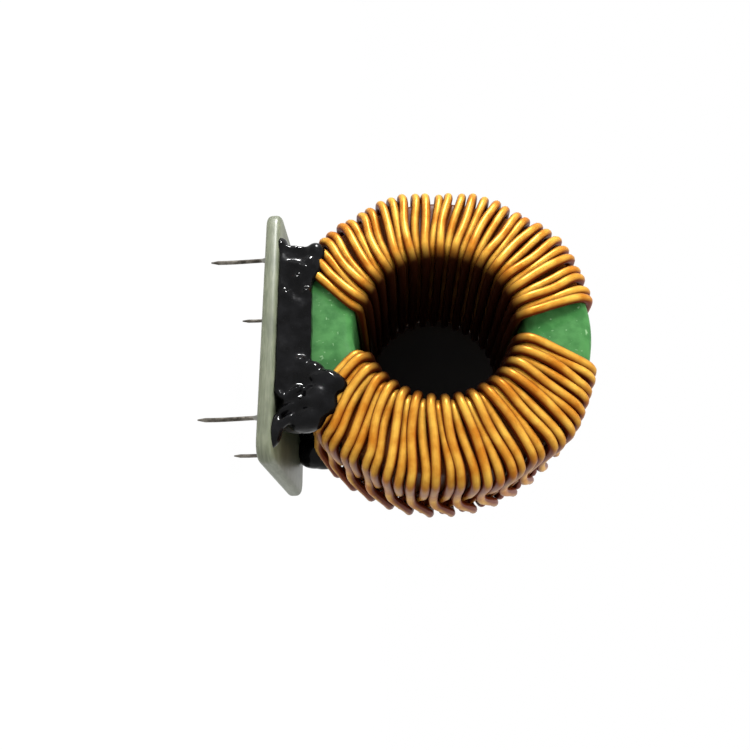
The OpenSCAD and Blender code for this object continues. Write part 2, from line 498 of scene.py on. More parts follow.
@dataclass(frozen=True)
class TinnedWire:
    """Tinned copper wire, drawn and handled.

    The eye sees dull grey metal with darker patches of oxide.
    """

    name: str = "tinned wire, dulled"
    clean: str = "#77726A"
    oxide: str = "#3E3A34"
    roughness: float = 0.42
    patch_mm: float = 0.8

    def material(self) -> bpy.types.Material:
        """Builds the metal's finish, with oxide in patches.

        Returns:
            The new material.
        """
        material, shader, place = new_material(
            self.name, {"Metallic": 1.0, "Roughness": self.roughness}
        )
        tree = material.node_tree
        patches = add_node(
            tree,
            "ShaderNodeTexNoise",
            inputs={"Vector": place, "Scale": per_metre(self.patch_mm), "Detail": 3.0},
        )
        spread = add_node(
            tree,
            "ShaderNodeMapRange",
            inputs={"Value": patches.outputs[0], "From Min": 0.35, "From Max": 0.65},
        )
        colour = add_node(
            tree,
            "ShaderNodeMix",
            {"data_type": "RGBA"},
            {0: spread.outputs[0], 6: to_linear(self.oxide), 7: to_linear(self.clean)},
        )
        tree.links.new(colour.outputs[2], shader.inputs["Base Color"])
        return material


@dataclass(frozen=True)
class PouredResin:
    """Black potting resin, poured and set.

    The eye sees a wet gloss, dragged by hand into ripples, with dull dusty places.
    """

    body: str = "#070708"
    dust: str = "#161618"
    ripple_mm: float = 1.4
    dust_mm: float = 2.4

    def material(self) -> bpy.types.Material:
        """Builds the resin's finish: gloss that varies over fine ripples.

        Returns:
            The new material.
        """
        material, shader, place = new_material(
            "black epoxy resin, poured", {"IOR": 1.5, "Specular IOR Level": 0.1}
        )
        tree = material.node_tree
        haze = add_node(
            tree,
            "ShaderNodeTexNoise",
            inputs={"Vector": place, "Scale": per_metre(self.dust_mm), "Detail": 3.0},
        )
        spread = add_node(
            tree,
            "ShaderNodeMapRange",
            inputs={"Value": haze.outputs[0], "From Min": 0.42, "From Max": 0.7},
        )
        colour = add_node(
            tree,
            "ShaderNodeMix",
            {"data_type": "RGBA"},
            {0: spread.outputs[0], 6: to_linear(self.body), 7: to_linear(self.dust)},
        )
        gloss = add_node(
            tree,
            "ShaderNodeMapRange",
            inputs={"Value": spread.outputs[0], "To Min": 0.08, "To Max": 0.24},
        )
        ripples = add_node(
            tree,
            "ShaderNodeTexNoise",
            inputs={"Vector": place, "Scale": per_metre(self.ripple_mm), "Detail": 2.0},
        )
        bump = add_node(
            tree,
            "ShaderNodeBump",
            inputs={
                "Height": ripples.outputs[0],
                "Strength": 0.4,
                "Distance": 0.2 * MM,
            },
        )
        tree.links.new(colour.outputs[2], shader.inputs["Base Color"])
        tree.links.new(gloss.outputs[0], shader.inputs["Roughness"])
        tree.links.new(bump.outputs[0], shader.inputs["Normal"])
        return material


@dataclass(frozen=True)
class SinteredFerrite:
    """Sintered ferrite: dark grey, matt, with a fine grain."""

    light: str = "#3A3A3C"
    dark: str = "#262628"
    grain_mm: float = 0.3

    def material(self) -> bpy.types.Material:
        """Builds the bare core's finish.

        Returns:
            The new material.
        """
        material, shader, place = new_material(
            "ferrite, sintered", {"Roughness": 0.75, "Metallic": 0.1}
        )
        tree = material.node_tree
        grain = add_node(
            tree,
            "ShaderNodeTexNoise",
            inputs={"Vector": place, "Scale": per_metre(self.grain_mm)},
        )
        colour = add_node(
            tree,
            "ShaderNodeMix",
            {"data_type": "RGBA"},
            {0: grain.outputs[0], 6: to_linear(self.dark), 7: to_linear(self.light)},
        )
        tree.links.new(colour.outputs[2], shader.inputs["Base Color"])
        return material


def deselect_all() -> None:
    """Leaves nothing selected, so the next operator acts on the new piece alone."""
    bpy.ops.object.select_all(action="DESELECT")


def named(name: str) -> bpy.types.Object:
    """Names the active object and its mesh.

    Args:
        name: The name that both take.

    Returns:
        The active object.
    """
    obj = bpy.context.object
    obj.name = name
    obj.data.name = name
    return obj


def apply_modifier(
    obj: bpy.types.Object, kind: str, settings: dict[str, Any]
) -> None:
    """Adds a modifier with its settings and applies it.

    Args:
        obj: The object that takes it.
        kind: The modifier's type.
        settings: Properties to set on it.
    """
    deselect_all()
    obj.select_set(True)
    bpy.context.view_layer.objects.active = obj
    modifier = obj.modifiers.new(kind.lower(), kind)
    for key, value in settings.items():
        setattr(modifier, key, value)
    bpy.ops.object.modifier_apply(modifier=modifier.name)


def joined(name: str, pieces: Sequence[bpy.types.Object]) -> bpy.types.Object:
    """Joins pieces into one object.

    Args:
        name: The joined object's name.
        pieces: The objects to join; the first takes in the others.

    Returns:
        The joined object.
    """
    deselect_all()
    for piece in pieces:
        piece.select_set(True)
    bpy.context.view_layer.objects.active = pieces[0]
    bpy.ops.object.join()
    return named(name)


def clouds(name: str, size_mm: float) -> bpy.types.Texture:
    """Makes a soft noise texture for a displace modifier.

    Args:
        name: The texture's name.
        size_mm: The width of its features.

    Returns:
        The new texture.
    """
    texture = bpy.data.textures.new(name, "CLOUDS")
    texture.noise_scale = size_mm * MM
    return texture


def spun(
    name: str, outline: Sequence[Vector], centre: Vector, axis: Vector, steps: int
) -> bpy.types.Object:
    """Traces an outline from one vertex by extruding it, and spins it about an axis.

    Args:
        name: The new object's name.
        outline: The outline's points in order, in metres.
        centre: A point on the axis.
        axis: The axis's direction.
        steps: Steps in the full turn.

    Returns:
        A closed, smooth object with its normals outwards.
    """
    deselect_all()
    bpy.ops.mesh.primitive_plane_add(size=MM, location=outline[0])
    bpy.ops.object.transform_apply(location=True, rotation=True, scale=True)
    bpy.ops.object.mode_set(mode="EDIT")
    bpy.ops.mesh.select_mode(type="VERT")
    bpy.ops.mesh.select_all(action="SELECT")
    bpy.ops.mesh.merge(type="CENTER")
    for start, end in zip(outline, outline[1:]):
        bpy.ops.mesh.extrude_region_move(TRANSFORM_OT_translate={"value": end - start})
    bpy.ops.mesh.select_all(action="SELECT")
    bpy.ops.mesh.spin(steps=steps, angle=math.tau, center=centre, axis=axis)
    bpy.ops.mesh.select_all(action="SELECT")
    bpy.ops.mesh.remove_doubles(threshold=MERGE_MM * MM)
    bpy.ops.mesh.normals_make_consistent(inside=False)
    bpy.ops.object.mode_set(mode="OBJECT")
    bpy.ops.object.shade_smooth_by_angle(angle=math.radians(CREASE_DEG))
    return named(name)


def dress(
    obj: bpy.types.Object,
    nodes: Sequence[str],
    material: bpy.types.Material,
) -> None:
    """Gives a finished piece its material and its place in the frame.

    Args:
        obj: The finished piece.
        nodes: The CAD nodes that it stands for.
        material: Its finish.
    """
    obj.data.materials.clear()
    obj.data.materials.append(material)
    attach(obj, BODY)
    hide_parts(*nodes)
    LOG.info("%s: %d faces for %s", obj.name, len(obj.data.polygons), list(nodes))


@dataclass
class Core:
    """The ferrite ring and its green coat. The ring's axis lies along Y."""

    wander_mm: float = 0.09
    wander_size_mm: float = 4.0
    bore_r_mm: float = 9.5
    edge_mm: float = 0.95
    edge_steps: int = 6
    wall_steps: int = 10
    spin_steps: int = 160

    def __post_init__(self) -> None:
        """Reads the coated ring's sizes from the frame."""
        low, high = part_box("core_coat")
        coat_t = high[0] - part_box("ferrite_ring")[1][0]
        self.outer_r = (high[0] - low[0]) / 2
        self.half_h = (high[1] - low[1]) / 2
        self.inner_r = self.bore_r_mm * MM - coat_t

    def outline(self) -> list[Vector]:
        """Gives the ring's section on the side of +X.

        Returns:
            A closed chain of points, with the first one again at its end.
        """
        edge = self.edge_mm * MM
        corners = [
            (self.outer_r - edge, self.half_h - edge, 90, 0),
            (self.outer_r - edge, -self.half_h + edge, 0, -90),
            (self.inner_r + edge, -self.half_h + edge, -90, -180),
            (self.inner_r + edge, self.half_h - edge, 180, 90),
        ]
        rounds = []
        for x, y, first, last in corners:
            angles = [
                math.radians(first + (last - first) * i / self.edge_steps)
                for i in range(self.edge_steps + 1)
            ]
            rounds.append(
                [
                    Vector((x + edge * math.cos(a), y + edge * math.sin(a), 0))
                    for a in angles
                ]
            )
        points: list[Vector] = []
        for arc, following in zip(rounds, rounds[1:] + rounds[:1]):
            points += arc
            start, end = arc[-1], following[0]
            points += [
                start.lerp(end, i / self.wall_steps) for i in range(1, self.wall_steps)
            ]
        points.append(points[0])
        return [p + Vector((0, 0, AXIS_Z)) for p in points]

    def build(self) -> None:
        """Spins the coat, gives it slight waves, and finishes the ring inside it."""
        coat = spun(
            "coated_ring",
            self.outline(),
            Vector((0, 0, AXIS_Z)),
            Vector((0, 1, 0)),
            self.spin_steps,
        )
        apply_modifier(
            coat,
            "DISPLACE",
            {
                "texture": clouds("coat_waves", self.wander_size_mm),
                "texture_coords": "LOCAL",
                "strength": self.wander_mm * MM,
            },
        )
        dress(coat, ["core_coat"], DippedEpoxy().material())
        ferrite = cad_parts["ferrite_ring"]
        ferrite.data.materials.clear()
        ferrite.data.materials.append(SinteredFerrite().material())


@dataclass
class Winding:
    """One winding: a single wire, up the ring on the core and back over those turns."""

    node: str
    side: Side
    low_deg: float
    high_deg: float
    tightest_deg: float
    core: Core
    turns: int = 32
    wire_mm: float = 0.9
    gap_mm: float = 0.06
    fan_low_deg: float = 12
    fan_high_deg: float = 5
    proud_bend_mm: float = 2.2
    enamel_mm: float = 0.06
    press_mm: float = 0.06
    bulge_mm: float = 0.5
    bulge_bend_mm: float = 1.9
    ease_mm: float = 0.45
    loose_mm: float = 0.55
    edge_lift: float = 0.2
    shift: tuple[tuple[float, float], ...] = ((5.6, 0.06), (3.2, 0.5), (0.8, 0.94))
    straight_y_mm: float = -1.4
    slack_mm: float = 0.05
    slack_start: float = 3
    wander_mm: float = 0.14
    sway_mm: float = 0.26
    sway_stride: float = 1.7
    loose_stride: float = 1.3
    loose_start: float = 1
    loose_power: float = 1.5
    end_power: float = 4
    bend_steps: int = 3
    path_steps: int = 4
    section_steps: int = 4

    def __post_init__(self) -> None:
        """Works out where the middle of the wire runs, in millimetres."""
        lay = self.gap_mm + self.wire_mm / 2
        self.run_in = self.core.inner_r / MM - lay
        self.run_out = self.core.outer_r / MM + lay
        self.run_over = self.run_out + self.wire_mm - self.press_mm
        self.run_face = self.core.half_h / MM + lay
        self.run_bend = self.core.edge_mm + lay
        self.half = self.turns // 2
        span = self.tightest_deg + self.fan_low_deg + self.fan_high_deg
        pitch = math.radians(self.run_in * span / (self.turns - 1))
        clear = self.wire_mm + self.gap_mm
        self.hole_step = math.sqrt(max(0.0, clear**2 - pitch**2)) + self.gap_mm

    @staticmethod
    def wobble(number: float) -> float:
        """Gives a number from -1 to 1 that differs from one turn to the next."""
        return math.sin(math.radians(WOBBLE_STEP_DEG * number + WOBBLE_START_DEG))

    def place(self, turn: int) -> int:
        """Gives a turn's place across the winding: even going up, odd coming back."""
        return 2 * turn if turn < self.half else 2 * (self.turns - 1 - turn) + 1

    def outer_angle(self, place: float) -> float:
        """Gives where a place lies on the outer wall.

        Args:
            place: The place across the winding.

        Returns:
            Degrees above level.
        """
        span = self.low_deg + self.high_deg
        wander = math.degrees(self.wander_mm * self.wobble(place) / self.run_out)
        return -self.low_deg + span * place / (self.turns - 1) + wander

    def hole_angle(self, place: float) -> float:
        """Gives the degrees above level of a place in the hole."""
        span = self.low_deg + self.high_deg + self.fan_low_deg + self.fan_high_deg
        return -self.low_deg - self.fan_low_deg + span * place / (self.turns - 1)

    def step(self, turn: int) -> float:
        """Gives how far a turn stands off the core in the hole."""
        return self.hole_step * (self.place(turn) % 2)

    def back_r(self, turn: int) -> float:
        """Gives the radius at which a turn rounds the back edge, loose or not."""
        return self.crossing_r(turn) + (self.bulge_mm if turn < self.half else 0)

    def front_r(self, turn: int) -> float:
        """Gives the radius at which a turn rounds the front edge, more or less loose.

        Args:
            turn: The turn's number along the wire.

        Returns:
            The radius in millimetres.
        """
        place = self.place(turn)
        from_end = 1 - abs(2 * place / (self.turns - 1) - 1) ** self.end_power
        draw = self.wobble(self.loose_stride * place + self.loose_start)
        loose = abs(draw) ** self.loose_power
        return self.run_out + (self.ease_mm + self.loose_mm * loose) * from_end

    def crossing_r(self, turn: int) -> float:
        """Gives the radius at which the wire crosses the outer wall after a turn.

        Args:
            turn: The turn's number along the wire.

        Returns:
            The radius in millimetres.
        """
        if turn < self.half:
            return self.run_out
        draw = self.wobble(self.place(turn) + self.slack_start)
        return self.run_over + self.slack_mm * abs(draw)

    def crossing_bend(self, turn: int) -> float:
        """Gives the bend radius at the ends of that crossing."""
        return self.bulge_bend_mm if turn < self.half else self.proud_bend_mm

    def around(self, r: float, degrees: float, y: float) -> Vector:
        """Gives a point about the ring's axis.

        Args:
            r: Its distance from the axis.
            degrees: Its angle above level.
            y: Its place along the axis.

        Returns:
            The point in millimetres.
        """
        a = math.radians(degrees)
        return Vector(
            (
                self.side.value * r * math.cos(a),
                y,
                AXIS_Z / MM + r * math.sin(a),
            )
        )

    def bend(
        self,
        degrees: float,
        corner: tuple[float, float],
        radius: float,
        middle: tuple[int, int],
        start: float,
    ) -> list[Vector]:
        """Gives the vertices of a quarter bend in the plane through the ring's axis.

        Args:
            degrees: The plane's angle above level.
            corner: The square corner that the bend rounds, as radius and Y.
            radius: The bend's radius.
            middle: The signs of the way from the corner to the bend's middle.
            start: The direction, in that plane, that the bend starts from.

        Returns:
            Vertices just outside the round, which a smooth curve follows.
        """
        turn = 90 / self.bend_steps
        reach = radius / math.cos(math.radians(turn / 2))
        points = []
        for i in range(self.bend_steps):
            a = math.radians(start - turn * (i + 0.5))
            points.append(
                self.around(
                    corner[0] + middle[0] * radius + reach * math.cos(a),
                    degrees,
                    corner[1] + middle[1] * radius + reach * math.sin(a),
                )
            )
        return points

    def face_sway(self, turn: int, face: Face) -> Vector:
        """Gives the middle of a turn on one face, swayed aside by hand laying.

        Args:
            turn: The turn's number along the wire.
            face: The face that it lies on.

        Returns:
            The point in millimetres.
        """
        place = self.place(turn)
        middle_r = (self.run_in + self.run_out) / 2
        sway = self.sway_mm * self.wobble(self.sway_stride * place + face.value)
        angle = (self.outer_angle(place) + self.hole_angle(place)) / 2
        angle += math.degrees(sway / middle_r)
        lift = self.step(turn) * (1 + self.edge_lift) / 2
        return self.around(middle_r, angle, face.value * (self.run_face + lift))

    def crossing(self, turn: int) -> list[Vector]:
        """Gives the way to the front along the outer wall.

        Args:
            turn: The turn that the crossing follows.

        Returns:
            Points over to the next turn's place, then straight on, in millimetres.
        """
        start = self.outer_angle(self.place(turn))
        end = self.outer_angle(self.place(turn + 1))
        points = [
            self.around(self.crossing_r(turn), start + (end - start) * share, y)
            for y, share in self.shift
        ]
        low_r = (self.run_out + self.front_r(turn + 1)) / 2
        points.append(self.around(low_r, end, self.straight_y_mm))
        return points

    def turn_points(self, turn: int) -> list[Vector]:
        """Gives one turn.

        Args:
            turn: The turn's number along the wire.

        Returns:
            Points in over the front, through the hole, out over the back and across.
        """
        place, step = self.place(turn), self.step(turn)
        outer, hole = self.outer_angle(place), self.hole_angle(place)
        face = self.run_face + step
        edge = self.run_face + step * self.edge_lift
        inner = self.run_in - step
        inner_bend = self.run_bend + step
        points: list[Vector] = []
        if turn > 0:
            points += self.bend(
                outer, (self.front_r(turn), -edge), self.proud_bend_mm, (-1, 1), 0
            )
            points.append(self.face_sway(turn, Face.FRONT))
        points += self.bend(hole, (inner, -face), inner_bend, (1, 1), 270)
        points += self.bend(hole, (inner, face), inner_bend, (1, -1), 180)
        if turn < self.turns - 1:
            points.append(self.face_sway(turn, Face.BACK))
            points += self.bend(
                outer, (self.back_r(turn), edge), self.crossing_bend(turn), (-1, -1), 90
            )
            points += self.crossing(turn)
        return points

    def lead(self, turn: int, face: Face) -> list[Vector]:
        """Gives the lead from a pin's top to the ring's face.

        Args:
            turn: The turn that the lead belongs to.
            face: The face that it lies on.

        Returns:
            Points in millimetres.
        """
        end = "left" if self.side is Side.LEFT else "right"
        where = "front" if face is Face.FRONT else "back"
        low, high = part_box(f"pin_{where}_{end}")
        x, y = (low[0] + high[0]) / 2 / MM, (low[1] + high[1]) / 2 / MM
        top = high[2] / MM + self.gap_mm
        angle = self.outer_angle(self.place(turn))
        off = face.value * (self.run_face + self.step(turn))
        return [
            Vector((x, y, top)),
            Vector((x, y, top + self.wire_mm / 2)),
            self.around(self.run_out + self.wire_mm, angle, off),
            self.around(self.core.outer_r / MM, angle, off),
        ]

    def path(self) -> list[Vector]:
        """Gives the whole wire.

        Returns:
            Points from its front pin to its back pin, in metres.
        """
        points = self.lead(0, Face.FRONT)
        for turn in range(self.turns):
            points += self.turn_points(turn)
        points += reversed(self.lead(self.turns - 1, Face.BACK))
        return [p * MM for p in points]

    def build(self, material: bpy.types.Material) -> None:
        """Draws the wire as one smooth path with a round section, as a mesh.

        Args:
            material: The wire's finish.
        """
        points = self.path()
        deselect_all()
        bpy.ops.curve.primitive_nurbs_path_add(location=(0, 0, 0))
        curve = bpy.context.object.data
        spline = curve.splines[0]
        spline.points.add(len(points) - len(spline.points))
        for vertex, point in zip(spline.points, points):
            vertex.co = (*point, 1.0)
        spline.order_u = 3
        spline.use_endpoint_u = True
        curve.resolution_u = self.path_steps
        curve.bevel_depth = (self.wire_mm / 2 + self.enamel_mm) * MM
        curve.bevel_resolution = self.section_steps
        curve.use_fill_caps = True
        bpy.ops.object.convert(target="MESH")
        bpy.ops.object.shade_smooth()
        wire = named(f"wire_{self.side.name.lower()}")
        self.mark_crests(wire.data)
        dress(wire, [self.node], material)

    def mark_crests(self, mesh: bpy.types.Mesh) -> None:
        """Stores on each vertex how squarely it faces away from the ring, which sets the
        painted shade in the wire's folds.

        Args:
            mesh: The wire's mesh, which gets one on its crests and less in its folds.
        """
        middle_r = (self.core.inner_r + self.core.outer_r) / 2
        crests = mesh.attributes.new(CREST, "FLOAT", "POINT")
        for vertex in mesh.vertices:
            spoke = Vector((vertex.co.x, 0, vertex.co.z - AXIS_Z))
            middle = spoke.normalized() * middle_r
            outward = spoke - middle + Vector((0, vertex.co.y, 0))
            crests.data[vertex.index].value = vertex.normal.dot(outward.normalized())


@dataclass
class Board:
    """The base board: a routed laminate plate with rounded corners and soft edges."""

    corner_mm: float = 2.0
    corner_steps: int = 8
    rim_mm: float = 0.55
    rim_steps: int = 4
    crease_deg: float = 40

    def build(self) -> None:
        """Rounds a plate's upright corners, then its rims."""
        low, high = (Vector(v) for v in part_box("base_board"))
        deselect_all()
        bpy.ops.mesh.primitive_cube_add(
            size=1, location=(low + high) / 2, scale=high - low
        )
        bpy.ops.object.transform_apply(location=True, rotation=True, scale=True)
        board = named("board")
        self.bevel(board, self.is_upright, self.corner_mm, self.corner_steps)
        self.bevel(board, self.is_rim, self.rim_mm, self.rim_steps)
        bpy.ops.object.shade_smooth_by_angle(angle=math.radians(self.crease_deg))
        dress(board, ["base_board"], GlassLaminate().material())

    @staticmethod
    def is_upright(mesh: bpy.types.Mesh, edge: bpy.types.MeshEdge) -> bool:
        """Tells whether an edge stands along Z."""
        a, b = (mesh.vertices[i].co for i in edge.vertices)
        return abs(a.z - b.z) > LEVEL_MM * MM

    @staticmethod
    def is_rim(mesh: bpy.types.Mesh, edge: bpy.types.MeshEdge) -> bool:
        """Tells whether an edge lies level, round the top or the underside."""
        a, b = (mesh.vertices[i].co for i in edge.vertices)
        return abs(a.z - b.z) < LEVEL_MM * MM

    @staticmethod
    def bevel(
        board: bpy.types.Object,
        chosen: Callable[[bpy.types.Mesh, bpy.types.MeshEdge], bool],
        width_mm: float,
        steps: int,
    ) -> None:
        """Bevels the edges that a test picks out.

        Args:
            board: The plate.
            chosen: Tells whether an edge is bevelled.
            width_mm: The round's radius.
            steps: Segments in the round.
        """
        bpy.ops.object.mode_set(mode="EDIT")
        bpy.ops.mesh.select_mode(type="EDGE")
        bpy.ops.mesh.select_all(action="DESELECT")
        bpy.ops.object.mode_set(mode="OBJECT")
        for edge in board.data.edges:
            edge.select = chosen(board.data, edge)
        bpy.ops.object.mode_set(mode="EDIT")
        bpy.ops.mesh.bevel(offset=width_mm * MM, segments=steps, affect="EDGES")
        bpy.ops.object.mode_set(mode="OBJECT")


@dataclass
class Pins:
    """Four tinned pins with tapered tips, each in a cone of solder under the board."""

    pin_r_mm: float = 0.225
    tip_mm: float = 0.8
    tip_r_mm: float = 0.075
    foot_mm: float = 0.6
    rise_mm: float = 0.9
    pad_r_mm: float = 1.1
    pad_t_mm: float = 0.06
    shaft_steps: int = 8
    cone_steps: int = 8
    cone_power: float = 2.2
    cone_bore: float = 0.5
    spin_steps: int = 20
    bow_mm: float = 0.12

    def build(self) -> None:
        """Spins each pin and each cone of solder, and finishes them."""
        metal = TinnedWire().material()
        solder = []
        for name in sorted(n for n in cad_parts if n.startswith("pin_")):
            low, high = (Vector(v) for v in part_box(name))
            centre = (low + high) / 2
            radius = self.pin_r_mm * MM
            pin = spun(
                f"tinned_{name}",
                self.pin_outline(centre, radius, low.z, high.z),
                Vector((centre.x, centre.y, 0)),
                Vector((0, 0, 1)),
                self.spin_steps,
            )
            self.bow(pin, low.z)
            dress(pin, [name], metal)
            solder.append(
                spun(
                    f"solder_{name}",
                    self.solder_outline(centre, radius),
                    Vector((centre.x, centre.y, 0)),
                    Vector((0, 0, 1)),
                    self.spin_steps,
                )
            )
        cones = joined("solder_cones", solder)
        finish = TinnedWire(
            name="solder, reflowed",
            clean="#8E8D86",
            oxide="#5F5E58",
            roughness=0.3,
            patch_mm=1.2,
        )
        dress(cones, ["solder_joints"], finish.material())

    def pin_outline(
        self, centre: Vector, radius: float, bottom: float, top: float
    ) -> list[Vector]:
        """Gives half of a pin's section.

        Args:
            centre: A point on the pin's axis.
            radius: The shaft's radius.
            bottom: The height of the tip.
            top: The height of the top.

        Returns:
            Points from the middle of its tip to the middle of its top, in metres.
        """
        tip = bottom + self.tip_mm * MM
        steps = self.shaft_steps
        shaft = [tip + (top - tip) * i / steps for i in range(steps + 1)]
        half = [(0, bottom), (self.tip_r_mm * MM, bottom)]
        half += [(radius, z) for z in shaft]
        half.append((0, top))
        return [Vector((centre.x + r, centre.y, z)) for r, z in half]

    def solder_outline(self, centre: Vector, radius: float) -> list[Vector]:
        """Gives half of a solder cone's section, hollow between the pad and the pin.

        Args:
            centre: A point on the pin's axis.
            radius: The pin's radius.

        Returns:
            A closed chain of points, in metres.
        """
        foot, rise = self.foot_mm * MM, self.rise_mm * MM
        bore, pad_r = radius * self.cone_bore, self.pad_r_mm * MM
        under = -self.pad_t_mm * MM
        half = [(bore, 0.0), (pad_r, 0.0), (pad_r, under)]
        for i in range(self.cone_steps + 1):
            share = i / self.cone_steps
            hollow = (1 - share) ** self.cone_power
            half.append((radius + (foot - radius) * hollow, under - rise * share))
        half.append((bore, under - rise))
        half.append(half[0])
        return [Vector((centre.x + r, centre.y, z)) for r, z in half]

    def bow(self, pin: bpy.types.Object, bottom: float) -> None:
        """Leaves a slight bow in the free length of a pin, as handling does.

        Args:
            pin: The pin.
            bottom: The height of its tip.
        """
        for vertex in pin.data.vertices:
            if vertex.co.z < 0:
                depth = vertex.co.z / bottom
                vertex.co.x += self.bow_mm * MM * math.sin(math.pi * depth) * depth


@dataclass(frozen=True)
class Lump:
    """A dollop of resin, as an ellipsoid in millimetres, turned about Y."""

    centre: tuple[float, float, float]
    radii: tuple[float, float, float]
    turn_deg: float = 0.0

    def add(self) -> bpy.types.Object:
        """Adds the lump.

        Returns:
            An object at the origin with the lump's place in its mesh.
        """
        deselect_all()
        bpy.ops.mesh.primitive_uv_sphere_add(
            segments=24,
            ring_count=16,
            radius=1,
            location=Vector(self.centre) * MM,
            rotation=Euler((0, math.radians(self.turn_deg), 0)),
            scale=Vector(self.radii) * MM,
        )
        bpy.ops.object.transform_apply(location=True, rotation=True, scale=True)
        return bpy.context.object


@dataclass
class Resin:
    """The black resin that beds the ring on the board and covers the windings' ends."""

    voxel_mm: float = 0.17
    smooth_share: float = 0.5
    smooth_turns: int = 3
    last_turns: int = 4
    swell_mm: float = 0.34
    swell_size_mm: float = 2.2
    bed_left_mm: float = -9.7
    bed_right_mm: float = 7.6
    bed_top_mm: float = 5.1
    lean: float = 0.93
    sunk_mm: float = 0.1
    margin_mm: float = 0.05

    def bed(self) -> bpy.types.Object:
        """Adds the bed.

        Returns:
            A block on the board whose front and back lean in towards the ring.
        """
        low, high = (Vector(v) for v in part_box("resin_bed"))
        left, right, top = (
            v * MM for v in (self.bed_left_mm, self.bed_right_mm, self.bed_top_mm)
        )
        deselect_all()
        bpy.ops.mesh.primitive_cube_add(
            size=1,
            location=((left + right) / 2, 0, (low.z + top) / 2),
            scale=(right - left, high.y - low.y, top - low.z),
        )
        bpy.ops.object.transform_apply(location=True, rotation=True, scale=True)
        block = bpy.context.object
        for vertex in block.data.vertices:
            if vertex.co.z > (low.z + top) / 2:
                vertex.co.y *= self.lean
        return block

    def lumps(self) -> list[Lump]:
        """Lists the dollops on the bed.

        Returns:
            Those that lie on one face alone, then those that both faces have.
        """
        found = [
            Lump((11.3, -8.9, 1.7), (1.8, 0.85, 0.75), 12),
            Lump((8.7, -6.4, 3.6), (2.0, 3.2, 2.4), -25),
            Lump((8.9, 7.6, 3.6), (2.2, 2.2, 2.6), -25),
            Lump((-9.2, 8.4, 3.5), (1.0, 1.55, 1.4)),
            Lump((-3.5, -9.35, 2.4), (0.75, 0.5, 0.5)),
            Lump((-5.6, -9.2, 3.6), (0.55, 0.5, 0.4)),
            Lump((-3.9, -9.05, 4.5), (0.6, 0.5, 0.4), 40),
            Lump((-7.15, -9.2, 3.4), (0.4, 0.55, 1.6), 20),
            Lump((-7.8, -9.05, 4.8), (0.45, 0.5, 0.7), -40),
            Lump((4.1, -9.15, 4.1), (0.55, 0.55, 0.6), 30),
            Lump((6.0, -9.4, 5.6), (0.5, 0.45, 0.5)),
            Lump((7.4, -9.45, 5.6), (0.55, 0.4, 0.4)),
            Lump((7.7, -9.35, 2.2), (0.3, 0.5, 0.8), 56),
            Lump((7.6, -9.3, 3.4), (0.33, 0.5, 1.15), -39),
            Lump((9.1, -9.35, 3.0), (0.33, 0.5, 1.1), -27),
            Lump((8.4, -9.4, 4.9), (0.33, 0.45, 1.1), -15),
            Lump((10.3, -9.3, 3.0), (0.4, 0.5, 1.0), -40),
        ]
        for face in Face:
            y = face.value
            found += [
                Lump((-9.0, y * 8.2, 5.3), (1.45, 1.4, 1.25), 10),
                Lump((-7.0, y * 8.4, 4.9), (1.8, 1.1, 1.1), 25),
                Lump((-9.8, y * 8.6, 1.6), (1.35, 1.2, 0.95)),
                Lump((-9.3, y * 7.4, 2.7), (1.25, 1.6, 1.7)),
                Lump((5.3, y * 8.6, 5.3), (1.5, 0.95, 1.3), -30),
                Lump((6.4, y * 8.7, 7.1), (1.3, 1.25, 1.9), 20),
                Lump((8.0, y * 8.3, 6.1), (2.2, 1.6, 1.9), -20),
                Lump((9.9, y * 8.0, 4.9), (1.3, 1.8, 2.2), -10),
            ]
        return found

    def build(self) -> None:
        """Melts the bed and its dollops into one skin and drags ripples over it."""
        pieces = [self.bed()] + [lump.add() for lump in self.lumps()]
        resin = joined("resin", pieces)
        apply_modifier(
            resin, "REMESH", {"mode": "VOXEL", "voxel_size": self.voxel_mm * MM}
        )
        self.smooth(resin, self.smooth_turns)
        apply_modifier(
            resin,
            "DISPLACE",
            {
                "texture": clouds("resin_swell", self.swell_size_mm),
                "texture_coords": "LOCAL",
                "strength": self.swell_mm * MM,
            },
        )
        self.settle(resin)
        self.smooth(resin, self.last_turns)
        bpy.ops.object.shade_smooth()
        dress(resin, ["resin_bed"], PouredResin().material())

    def smooth(self, resin: bpy.types.Object, turns: int) -> None:
        """Smooths the skin a number of times over."""
        settings = {"factor": self.smooth_share, "iterations": turns}
        apply_modifier(resin, "SMOOTH", settings)

    def settle(self, resin: bpy.types.Object) -> None:
        """Keeps the resin on top of the board and between its front and back edges.

        Args:
            resin: The skin, which is moved vertex by vertex.
        """
        low, high = (Vector(v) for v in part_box("base_board"))
        bottom = high.z - self.sunk_mm * MM
        front, back = low.y + self.margin_mm * MM, high.y - self.margin_mm * MM
        for vertex in resin.data.vertices:
            vertex.co.z = max(vertex.co.z, bottom)
            vertex.co.y = min(max(vertex.co.y, front), back)


@dataclass(frozen=True)
class Lamp:
    """A square soft box that looks at the ring.

    A mirrored lamp shows only as a glint. Any other lights the object without a glint.
    """

    name: str
    place_mm: tuple[float, float, float]
    size_mm: float
    watts: float
    mirrored: bool = False
    aim_mm: tuple[float, float, float] = (0.0, 0.0, 16.0)

    def hang(self) -> None:
        """Adds the lamp and turns it to the ring."""
        deselect_all()
        bpy.ops.object.light_add(type="AREA", location=Vector(self.place_mm) * MM)
        lamp = bpy.context.object
        lamp.name = f"{self.name}_light"
        lamp.data.size = self.size_mm * MM
        lamp.data.energy = self.watts
        lamp.visible_glossy = self.mirrored
        lamp.visible_diffuse = not self.mirrored
        aim = Vector(self.aim_mm) * MM - lamp.location
        lamp.rotation_euler = aim.to_track_quat("-Z", "Y").to_euler()


